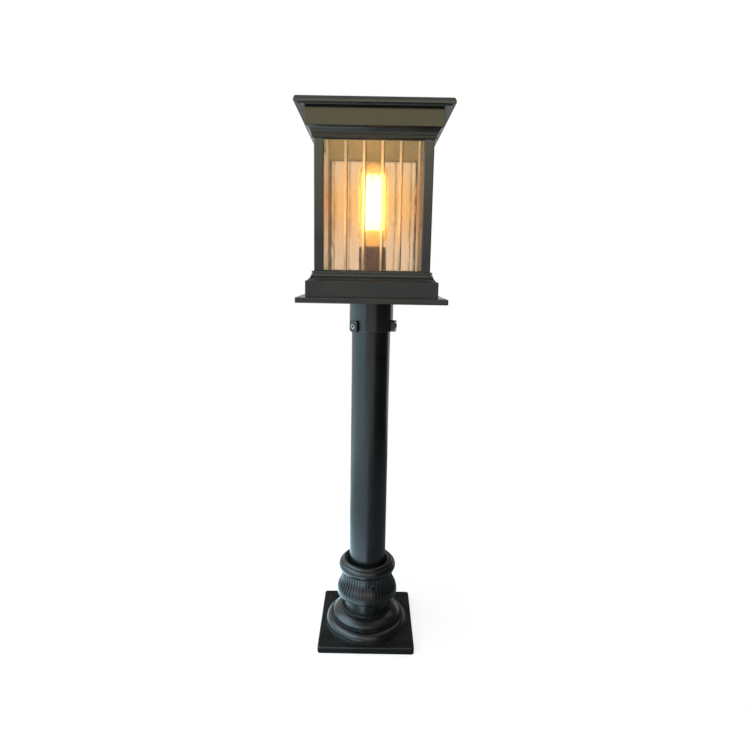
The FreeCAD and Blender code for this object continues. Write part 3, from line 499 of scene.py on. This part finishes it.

# %% [markdown]
# The lantern, the foot and the tube wear the same kind of paint, given as lit and shaded copies: on the
# lantern it is a little browner and lighter, which is painted warm light, and on the foot and the tube it is
# a deeper black, which is painted shade. The castings have softer edges and a coarser skin than the drawn
# tube, so each of the three has its own values.

# %% Painted metal
# Lit and shaded copies of one black paint: the lantern's lighter, browner black is painted warm light, and
# the deeper black of the foot and the tube is painted shade. The rubbed colours of the worn edges follow the
# same split.
LANTERN_BLACK_WARM_LIT = (0.020, 0.020, 0.018, 1.0)
FOOT_BLACK_SHADED = (0.006, 0.007, 0.007, 1.0)
RUBBED_LANTERN_WARM_LIT = (0.090, 0.088, 0.080, 1.0)
RUBBED_FOOT_SHADED = (0.030, 0.031, 0.032, 1.0)
# Painted warm reflections: the shine of the upper moulding is tinted warm, as if warm light fell on it.
PAINTED_WARM_GLINT = (1.0, 0.94, 0.76, 1.0)
lantern_skin = {"peel_scale": 620.0, "dull": 0.22, "edge_radius": 0.9 * MM, "dust": 0.03}
foot_skin = {"peel_scale": 620.0, "dull": 0.28, "edge_radius": 0.7 * MM, "dust": 0.015}
tube_skin = {"peel_scale": 900.0, "dull": 0.30, "edge_radius": 0.4 * MM, "dust": 0.01}

materials = {}
materials["satin_paint"] = painted_material("satin paint", LANTERN_BLACK_WARM_LIT, RUBBED_LANTERN_WARM_LIT, **lantern_skin)
materials["ceiling_paint"] = painted_material(
    "ceiling paint with painted lamplight", LANTERN_BLACK_WARM_LIT, RUBBED_LANTERN_WARM_LIT, **lantern_skin, ceiling=True
)
ceiling_shader = materials["ceiling_paint"].node_tree.nodes["Principled BSDF"]
ceiling_shader.inputs["Specular Tint"].default_value = PAINTED_WARM_GLINT
materials["foot_paint"] = painted_material("foot paint", FOOT_BLACK_SHADED, RUBBED_FOOT_SHADED, **foot_skin)
materials["tube_paint"] = painted_material("tube paint", FOOT_BLACK_SHADED, RUBBED_FOOT_SHADED, **tube_skin)
print("painted", sorted(materials))

# %% [markdown]
# Zinc, brass, nickel and drawn wire share the metal group. They differ in colour, in shine and in how much
# of the surface has gone dull. Metallic is plain because every point of these pieces is bare metal.

# %% Bare metal
LINE_DEPTH = 0.00003
LINE_STRENGTH = 0.4


def metal_material(name, colour, dull_colour, shine, edge_radius):
    material, tree, shader = new_material(name, {"Metallic": 1.0})
    edges = place_group(tree, rounded_edges, {"Radius": edge_radius})
    metal = place_group(tree, worked_metal, {"Colour": colour, "Dull Colour": dull_colour, "Shine": shine})
    wire(tree, metal.outputs["Colour"], shader.inputs["Base Color"])
    wire(tree, metal.outputs["Roughness"], shader.inputs["Roughness"])
    add_bump(tree, shader, metal.outputs["Height"], LINE_DEPTH, LINE_STRENGTH, edges.outputs["Normal"])
    return material


# Each row has the finish, its colour, the colour of its dull spots, its roughness and its edge radius.
metals = (
    ("galvanised_steel", (0.52, 0.53, 0.55, 1.0), (0.36, 0.37, 0.39, 1.0), 0.45, 0.0005),
    ("screw_steel", (0.62, 0.61, 0.58, 1.0), (0.40, 0.38, 0.34, 1.0), 0.28, 0.0002),
    ("dull_screw_steel", (0.34, 0.34, 0.33, 1.0), (0.20, 0.20, 0.19, 1.0), 0.34, 0.0002),
    ("black_screw_steel", (0.10, 0.10, 0.10, 1.0), (0.05, 0.05, 0.05, 1.0), 0.32, 0.0002),
    ("brass", (0.74, 0.55, 0.27, 1.0), (0.42, 0.29, 0.13, 1.0), 0.28, 0.0002),
    ("cap_nickel", (0.70, 0.67, 0.62, 1.0), (0.46, 0.43, 0.38, 1.0), 0.22, 0.0001),
    ("support_wire", (0.62, 0.58, 0.52, 1.0), (0.40, 0.36, 0.30, 1.0), 0.30, 0.0001),
)
for slot, colour, dull_colour, shine, radius in metals:
    materials[slot] = metal_material(slot.replace("_", " "), colour, dull_colour, shine, radius)
print("metals", [row[0] for row in metals])

# %% [markdown]
# The lampholder is pressed from brown phenolic, the disc under the bulb is fired clay, the seals are rubber
# and the leads are sleeved in plastic. All of them use the moulded skin with their own shine.

# %% Moulded and fired pieces
MOULDED_IOR = 1.48
MOULDED_STRENGTH = 0.5


def moulded_material(name, colour, shine, grain_scale, depth):
    material, tree, shader = new_material(name, {"IOR": MOULDED_IOR})
    skin = place_group(tree, moulded_skin, {"Colour": colour, "Shine": shine, "Grain Scale": grain_scale})
    wire(tree, skin.outputs["Colour"], shader.inputs["Base Color"])
    wire(tree, skin.outputs["Roughness"], shader.inputs["Roughness"])
    add_bump(tree, shader, skin.outputs["Height"], depth, MOULDED_STRENGTH)
    return material


# Each row has the finish, its colour, its roughness, the scale of its grain and the depth of the grain.
mouldings = (
    ("seal_rubber", (0.022, 0.022, 0.022, 1.0), 0.72, 1800.0, 0.00008),
    ("holder_plastic", (0.17, 0.080, 0.040, 1.0), 0.34, 900.0, 0.00005),
    ("holder_ceramic", (0.78, 0.75, 0.68, 1.0), 0.55, 1500.0, 0.00008),
    ("insulator_glass", (0.02, 0.02, 0.025, 1.0), 0.18, 600.0, 0.00003),
    ("block_plastic", (0.74, 0.73, 0.69, 1.0), 0.48, 1400.0, 0.00005),
    ("brown_lead", (0.16, 0.07, 0.03, 1.0), 0.42, 1600.0, 0.00004),
    ("blue_lead", (0.03, 0.10, 0.36, 1.0), 0.42, 1600.0, 0.00004),
    ("green_lead", (0.10, 0.36, 0.06, 1.0), 0.42, 1600.0, 0.00004),
)
for slot, colour, shine, grain_scale, depth in mouldings:
    materials[slot] = moulded_material(slot.replace("_", " "), colour, shine, grain_scale, depth)
print("moulded", [row[0] for row in mouldings])

# %% [markdown]
# At the height of the bulb the panes carry a painted glow: a deeper amber band stands for the bulb's light
# in the glass, and their matt ribs are a little deeper there than the sheet. The bulb's glass has a thin
# amber lacquer that scatters the light. At the rim one looks along that layer, so there is more of it, and it
# glows.
# A solid amber glass would be dark at the rim instead.

# %% Painted glow band and lacquer
# Painted glow: these colours stand for the bulb's light in the panes at its height.
GLOW_BAND_AMBER = (0.96, 0.68, 0.37, 1.0)
GLOW_BAND_RIB = (0.60, 0.32, 0.30, 1.0)
GLOW_BAND_REACH = 75.0 * MM
LACQUER = (1.0, 0.70, 0.20, 1.0)
LACQUER_RIM = 0.40
RIM_BLEND = 0.5
RIM_RANGE = (0.72, 1.0)


def painted_glow_band(tree, tint, matt):
    """A painted glow: a deeper amber at the height of the filaments, fading up and down, stands for the
    bulb's light in the sheet.
    """
    band = mix_colours(tree, matt, GLOW_BAND_AMBER, GLOW_BAND_RIB)
    low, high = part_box("bulb_filaments")
    away = away_from(tree, (low.z + high.z) / 2.0)
    return mix_colours(tree, stretched(tree, away, (0.0, GLOW_BAND_REACH), (1.0, 0.0)), tint, band)


def lacquered(tree, glass):
    """A thin scattering layer on the glass, which is denser where one looks along it."""
    facing = add_node(tree, "ShaderNodeLayerWeight", None, {"Blend": RIM_BLEND})
    share = stretched(tree, facing.outputs["Facing"], RIM_RANGE, (0.0, LACQUER_RIM))
    scatter = add_node(tree, "ShaderNodeBsdfTranslucent", None, {"Color": LACQUER})
    mix = add_node(tree, "ShaderNodeMixShader")
    wire(tree, share, mix.inputs[0])
    wire(tree, glass, mix.inputs[1])
    wire(tree, scatter.outputs["BSDF"], mix.inputs[2])
    return mix.outputs["Shader"]


print("painted glow band reaches", GLOW_BAND_REACH, "m up and down")

# %% [markdown]
# Light from the filaments has to get out through two layers of glass. A path tracer finds that way only by
# luck, so rays that look for a lamp pass straight through with the tint of the glass, and all other rays
# bend in it as in real glass.

# %% Glass
GLASS_IOR = 1.47
WAVE_STRENGTH = 0.4
MATT_RIB_HIGHLIGHT = (1.0, 0.93, 0.76, 1.0)
SHADED_FLANK_COLOUR = (0.14, 0.08, 0.03, 1.0)
MATT_ROUGHNESS = 0.95
CREST_DEPTH = 0.4 * MM
CREST = -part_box("pane_front")[1].y + CREST_DEPTH


def glass_material(name, colour, shadow_tint, clear, haze, haze_share, wave, ribbed=False, lacquer=False):
    material, tree, shader = new_material(name, {"Transmission Weight": 1.0, "IOR": GLASS_IOR})
    flaws = place_group(
        tree, glass_flaws, {"Colour": colour, "Clear": clear, "Haze": haze, "Haze Share": haze_share}
    )
    tint = flaws.outputs["Colour"]
    dullness = flaws.outputs["Roughness"]
    if ribbed:
        ribs = place_group(tree, pressed_ribs, {"Crest": CREST})
        # Painted highlight on the matt ribs and painted shade on the other flank, as the light falls through
        # them.
        tint = mix_colours(tree, ribs.outputs["Matt Highlight"], tint, MATT_RIB_HIGHLIGHT)
        tint = painted_glow_band(tree, tint, ribs.outputs["Matt Highlight"])
        tint = mix_colours(tree, ribs.outputs["Shaded Flank"], tint, SHADED_FLANK_COLOUR)
        matt = calculate(tree, "MULTIPLY", ribs.outputs["Matt Highlight"], MATT_ROUGHNESS)
        dullness = calculate(tree, "MAXIMUM", dullness, matt)
    wire(tree, tint, shader.inputs["Base Color"])
    wire(tree, dullness, shader.inputs["Roughness"])
    add_bump(tree, shader, flaws.outputs["Height"], wave, WAVE_STRENGTH)
    through = add_node(tree, "ShaderNodeBsdfTransparent", None, {"Color": shadow_tint})
    path = add_node(tree, "ShaderNodeLightPath")
    choose = add_node(tree, "ShaderNodeMixShader")
    output = tree.nodes["Material Output"]
    wire(tree, path.outputs["Is Shadow Ray"], choose.inputs[0])
    seen_glass = shader.outputs["BSDF"]
    wire(tree, lacquered(tree, seen_glass) if lacquer else seen_glass, choose.inputs[1])
    wire(tree, through.outputs["BSDF"], choose.inputs[2])
    wire(tree, choose.outputs["Shader"], output.inputs["Surface"])
    return material


PANE_TINT = (0.88, 0.69, 0.51, 1.0)
PANE_SHADOW = (0.92, 0.84, 0.74, 1.0)
AMBER_TINT = (1.0, 0.84, 0.50, 1.0)
AMBER_SHADOW = (1.0, 0.90, 0.72, 1.0)
STEM_TINT = (0.95, 0.95, 0.92, 1.0)
materials["pane_glass"] = glass_material(
    "pane glass", PANE_TINT, PANE_SHADOW, clear=0.08, haze=0.52, haze_share=0.68, wave=0.0006, ribbed=True
)
materials["amber_glass"] = glass_material(
    "amber glass", AMBER_TINT, AMBER_SHADOW, clear=0.24, haze=0.35, haze_share=0.62, wave=0.0003, lacquer=True
)
materials["stem_glass"] = glass_material(
    "stem glass", STEM_TINT, STEM_TINT, clear=0.05, haze=0.20, haze_share=0.60, wave=0.0002
)
print("glass", [slot for slot in materials if slot.endswith("glass")])

# %% [markdown]
# The filaments are coated sticks that glow warm white in the middle and more orange towards their ends. They
# are the only lamp inside the lantern, so what they light is what the real bulb lights.

# %% Glowing filaments
FILAMENT_GLOW = 32.0
FILAMENT_ROUGHNESS = 0.6
GLOW_WHITE = (1.0, 0.82, 0.55, 1.0)
GLOW_ORANGE = (1.0, 0.60, 0.24, 1.0)
ORANGE_FROM = 0.6

glow_values = {"Roughness": FILAMENT_ROUGHNESS, "Emission Strength": FILAMENT_GLOW}
material, tree, shader = new_material("glowing filament", glow_values)
low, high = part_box("bulb_filaments")
middle = (low.z + high.z) / 2.0
half = high.z - middle
towards_end = stretched(tree, away_from(tree, middle), (ORANGE_FROM * half, half))
glow = mix_colours(tree, towards_end, GLOW_WHITE, GLOW_ORANGE)
wire(tree, glow, shader.inputs["Emission Color"])
wire(tree, glow, shader.inputs["Base Color"])
materials["glowing_filament"] = material
print("filaments from %.3f to %.3f m" % (low.z, high.z))

# %% [markdown]
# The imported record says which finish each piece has, so one loop gives every CAD piece its material. A few
# pieces look different in the real light from others of the same stuff, and get a finish of their own.

# %% Give every piece its finish
def give_finish(name, slot):
    piece = nodes[name]
    for index in range(len(piece.data.materials)):
        piece.data.materials[index] = materials[slot]


subparts = frame["record"]["subparts"]
for subpart in subparts:
    give_finish(subpart["node"], subpart["material_slot"])
own_finish = {"upper_moulding": "ceiling_paint", "foot_cover": "foot_paint", "fluted_collar": "foot_paint"}
own_finish.update({"foot_set_screw": "black_screw_steel", "collar_set_screw": "black_screw_steel"})
own_finish.update({name: "dull_screw_steel" for name in nodes if name.startswith("clamp_screw")})
for name, finish in own_finish.items():
    give_finish(name, finish)
print("finished", len(subparts), "pieces,", len(own_finish), "with a finish of their own")

# %% [markdown]
# The studio is a white room. The floor is white to the eye and fades into the white of the room, so no
# horizon shows, and it keeps a soft shadow of the light. It throws little light back up, so the undersides
# stay dark, as they do on a real light in front of a sheet of paper.

# %% Floor
SEEING_RAYS = ("Is Camera Ray", "Is Glossy Ray", "Is Transmission Ray")
FLOOR_HALF = 3.0
FLOOR_GREY = (0.40, 0.40, 0.40, 1.0)
FLOOR_ROUGHNESS = 0.9
FLOOR_WHITE = 0.74
FLOOR_FADE = (0.15, 0.60)


def studio_mesh(name, corners, faces):
    mesh = bpy.data.meshes.new(name)
    mesh.from_pydata(corners, [], faces)
    thing = bpy.data.objects.new(name, mesh)
    bpy.context.scene.collection.objects.link(thing)
    return thing


def four_corners(first, last):
    """The corners of a rectangle between two opposite ones."""
    return [(first[0], first[1]), (last[0], first[1]), (last[0], last[1]), (first[0], last[1])]


def rays_that_see(tree, kinds):
    """One for the kinds of rays that are named, nought for the rest."""
    path = add_node(tree, "ShaderNodeLightPath")
    seen = path.outputs[kinds[0]]
    for kind in kinds[1:]:
        seen = calculate(tree, "ADD", seen, path.outputs[kind], True)
    return seen


floor_corners = four_corners((-FLOOR_HALF, -FLOOR_HALF), (FLOOR_HALF, FLOOR_HALF))
floor = studio_mesh("studio_floor", [(x, y, 0.0) for x, y in floor_corners], [(0, 1, 2, 3)])
floor_values = {"Base Color": FLOOR_GREY, "Roughness": FLOOR_ROUGHNESS}
material, tree, shader = new_material("floor white", floor_values)
place = add_node(tree, "ShaderNodeTexCoord")
distance = add_node(tree, "ShaderNodeVectorMath", {"operation": "LENGTH"})
wire(tree, place.outputs["Object"], distance.inputs[0])
far = stretched(tree, distance.outputs["Value"], FLOOR_FADE)
seen = rays_that_see(tree, SEEING_RAYS)
near_white = add_node(tree, "ShaderNodeEmission")
wire(tree, calculate(tree, "MULTIPLY", seen, FLOOR_WHITE), near_white.inputs["Strength"])
lit_floor = add_node(tree, "ShaderNodeAddShader")
wire(tree, shader.outputs["BSDF"], lit_floor.inputs[0])
wire(tree, near_white.outputs["Emission"], lit_floor.inputs[1])
far_white = add_node(tree, "ShaderNodeEmission")
blend = add_node(tree, "ShaderNodeMixShader")
wire(tree, calculate(tree, "MULTIPLY", far, seen), blend.inputs[0])
wire(tree, lit_floor.outputs["Shader"], blend.inputs[1])
wire(tree, far_white.outputs["Emission"], blend.inputs[2])
wire(tree, blend.outputs["Shader"], tree.nodes["Material Output"].inputs["Surface"])
floor.data.materials.append(material)
print("floor", 2.0 * FLOOR_HALF, "m wide")

# %% [markdown]
# The world is the room round the light. It is white to the eye, in mirrors and through glass, but it lights
# the object only half as much, so that the black stays black.

# %% Room
ROOM_LIGHT = 0.5
ROOM_WHITE = (1.0, 1.0, 1.0, 1.0)

world = bpy.data.worlds.new("white room")
bpy.context.scene.world = world
world.use_nodes = True
tree = world.node_tree
room = tree.nodes["Background"]
room.inputs["Color"].default_value = ROOM_WHITE
seen = rays_that_see(tree, SEEING_RAYS)
wire(tree, stretched(tree, seen, (0.0, 1.0), (ROOM_LIGHT, 1.0)), room.inputs["Strength"])
print("room light", ROOM_LIGHT)

# %% [markdown]
# Shiny black paint shows its shape only by what it mirrors, so a photographer puts cards round it. Only
# mirrored rays see these cards, so they add no light of their own. A card is matt, or it glows like a lamp's
# screen, with a glow that changes with the height or with the distance from the post.

# %% Helpers: cards
BEND_STEPS = 8


def card(name, corners, faces, finish):
    thing = studio_mesh(name, corners, faces)
    thing.data.materials.append(finish)
    thing.visible_camera = False
    thing.visible_transmission = False
    thing.visible_shadow = False
    thing.visible_diffuse = False


def bent_card(name, finish, distance, first, last, low, high):
    """An upright card bent round the post, from one angle to another to the right of the front."""
    corners = []
    for step in range(BEND_STEPS + 1):
        angle = math.radians(first + (last - first) * step / BEND_STEPS)
        way = Vector((math.sin(angle), -math.cos(angle), 0.0))
        corners += [distance * way + Vector((0.0, 0.0, height)) for height in (low, high)]
    faces = [(2 * i, 2 * i + 2, 2 * i + 3, 2 * i + 1) for i in range(BEND_STEPS)]
    card(name, corners, faces, finish)


def flat_card(name, finish, first, last, height):
    """A card that lies flat between two opposite corners."""
    card(name, [(x, y, height) for x, y in four_corners(first, last)], [(0, 1, 2, 3)], finish)


def upright_card(name, finish, first, last, depth):
    """A card that stands across the view between two opposite corners."""
    card(name, [(x, depth, z) for x, z in four_corners(first, last)], [(0, 1, 2, 3)], finish)


def matt_card(name, colour):
    return new_material(name, {"Base Color": colour, "Roughness": 1.0})[0]


def glowing_card(name, colour, measure, first, second, third=None):
    """A finish that glows from one (place, glow) pair to the next; a glow of one is white paper."""
    material, tree, _ = new_material(name, {})
    if measure == "height":
        value = piece_axes(tree)["Z"]
    else:
        distance = add_node(tree, "ShaderNodeVectorMath", {"operation": "LENGTH"})
        wire(tree, piece_place(tree), distance.inputs[0])
        value = distance.outputs["Value"]
    glow = add_node(tree, "ShaderNodeEmission", None, {"Color": colour})
    strength = stretched(tree, value, (first[0], second[0]), (first[1], second[1]))
    # The brighter of two ramps counts, so with a third pair the glow falls and then rises again.
    if third is not None:
        rise = stretched(tree, value, (second[0], third[0]), (second[1], third[1]))
        strength = calculate(tree, "MAXIMUM", strength, rise)
    wire(tree, strength, glow.inputs["Strength"])
    wire(tree, glow.outputs["Emission"], tree.nodes["Material Output"].inputs["Surface"])
    return material


print("helpers for cards")

# %% [markdown]
# Dark cards stand bent round the right side, lie on the floor, stand high behind, and hang in front. A grey
# one stands low behind, for the undersides of the overhangs to mirror. Bright cool cards on the left are a
# window and the floor that it shines on, and two cards in front serve the walls of the lantern.

# %% Cards
CARD_LIFT = 0.0005
WINDOW_BLUE = (0.62, 0.86, 1.0, 1.0)
FRONT_CREAM = (1.0, 0.93, 0.66, 1.0)
LOW_FRONT_WHITE = (0.97, 0.98, 1.0, 1.0)
REAR_DEPTH = 2.5
FRONT_DEPTH = -2.1
card_black = matt_card("card black", (0.02, 0.02, 0.02, 1.0))
card_grey = matt_card("card grey", (0.24, 0.28, 0.31, 1.0))
bent_card("right_card", card_black, distance=0.95, first=24.0, last=122.0, low=CARD_LIFT, high=1.7)
flat_card("floor_card", card_grey, (-0.02, -1.0), (0.95, 0.9), CARD_LIFT)
flat_card("foot_shadow_card", card_grey, (-0.10, -0.097), (0.0, 0.0), 2.0 * CARD_LIFT)
upright_card("rear_card", card_black, (-0.6, 0.9), (3.5, 3.0), REAR_DEPTH)
upright_card("low_rear_card", card_grey, (-1.2, 0.02), (1.2, 0.6), REAR_DEPTH)
flat_card("awning_card", card_black, (-0.5, -0.40), (0.5, -0.19), height=0.95)
window = glowing_card("window", WINDOW_BLUE, "height", (0.45, 2.0), (0.9, 5.5))
bent_card("left_window", window, distance=1.25, first=-118.0, last=-30.0, low=CARD_LIFT, high=2.4)
floor_light = glowing_card(
    "window on the floor", WINDOW_BLUE, "distance", (0.22, 3.8), (0.42, 1.0), (1.25, 3.1)
)
flat_card("window_floor_card", floor_light, (-1.25, -1.0), (-0.02, 0.6), CARD_LIFT)
front_light = glowing_card("front light", FRONT_CREAM, "height", (0.85, 1.0), (1.2, 2.5))
upright_card("front_card", front_light, (-1.2, 0.85), (1.0, 1.65), FRONT_DEPTH)
low_light = glowing_card("low front light", LOW_FRONT_WHITE, "height", (0.0, 0.72), (1.0, 0.72))
upright_card("low_front_card", low_light, (-1.2, 0.1), (1.0, 0.85), FRONT_DEPTH)

# %% [markdown]
# Two large soft lamps give the plain light: a cool one on the left and a warm one high in front. Each is
# given by the brightness of its face, where one is as bright as white paper. The cards already stand for
# them in the paint, so mirrored rays don't see the lamps.

# %% Soft lamps
COOL_WHITE = (0.84, 0.93, 1.0)
WARM_WHITE = (1.0, 0.90, 0.76)


def soft_lamp(name, place, target, width, height, brightness, colour):
    data = bpy.data.lights.new(name, "AREA")
    data.shape = "RECTANGLE"
    data.size = width
    data.size_y = height
    data.energy = brightness * math.pi * width * height
    data.color = colour
    lamp = bpy.data.objects.new(name, data)
    bpy.context.scene.collection.objects.link(lamp)
    lamp.location = place
    lamp.rotation_euler = (Vector(target) - Vector(place)).to_track_quat("-Z", "Y").to_euler()
    lamp.visible_camera = False
    lamp.visible_transmission = False
    lamp.visible_glossy = False


soft_lamp(
    "left_soft_lamp",
    place=(-1.25, -0.35, 0.75),
    target=(0.0, 0.0, 0.40),
    width=2.0,
    height=1.4,
    brightness=1.4,
    colour=COOL_WHITE,
)
soft_lamp(
    "front_soft_lamp",
    place=(-0.3, -2.1, 1.5),
    target=(0.0, 0.0, 0.75),
    width=1.8,
    height=1.0,
    brightness=2.0,
    colour=WARM_WHITE,
)
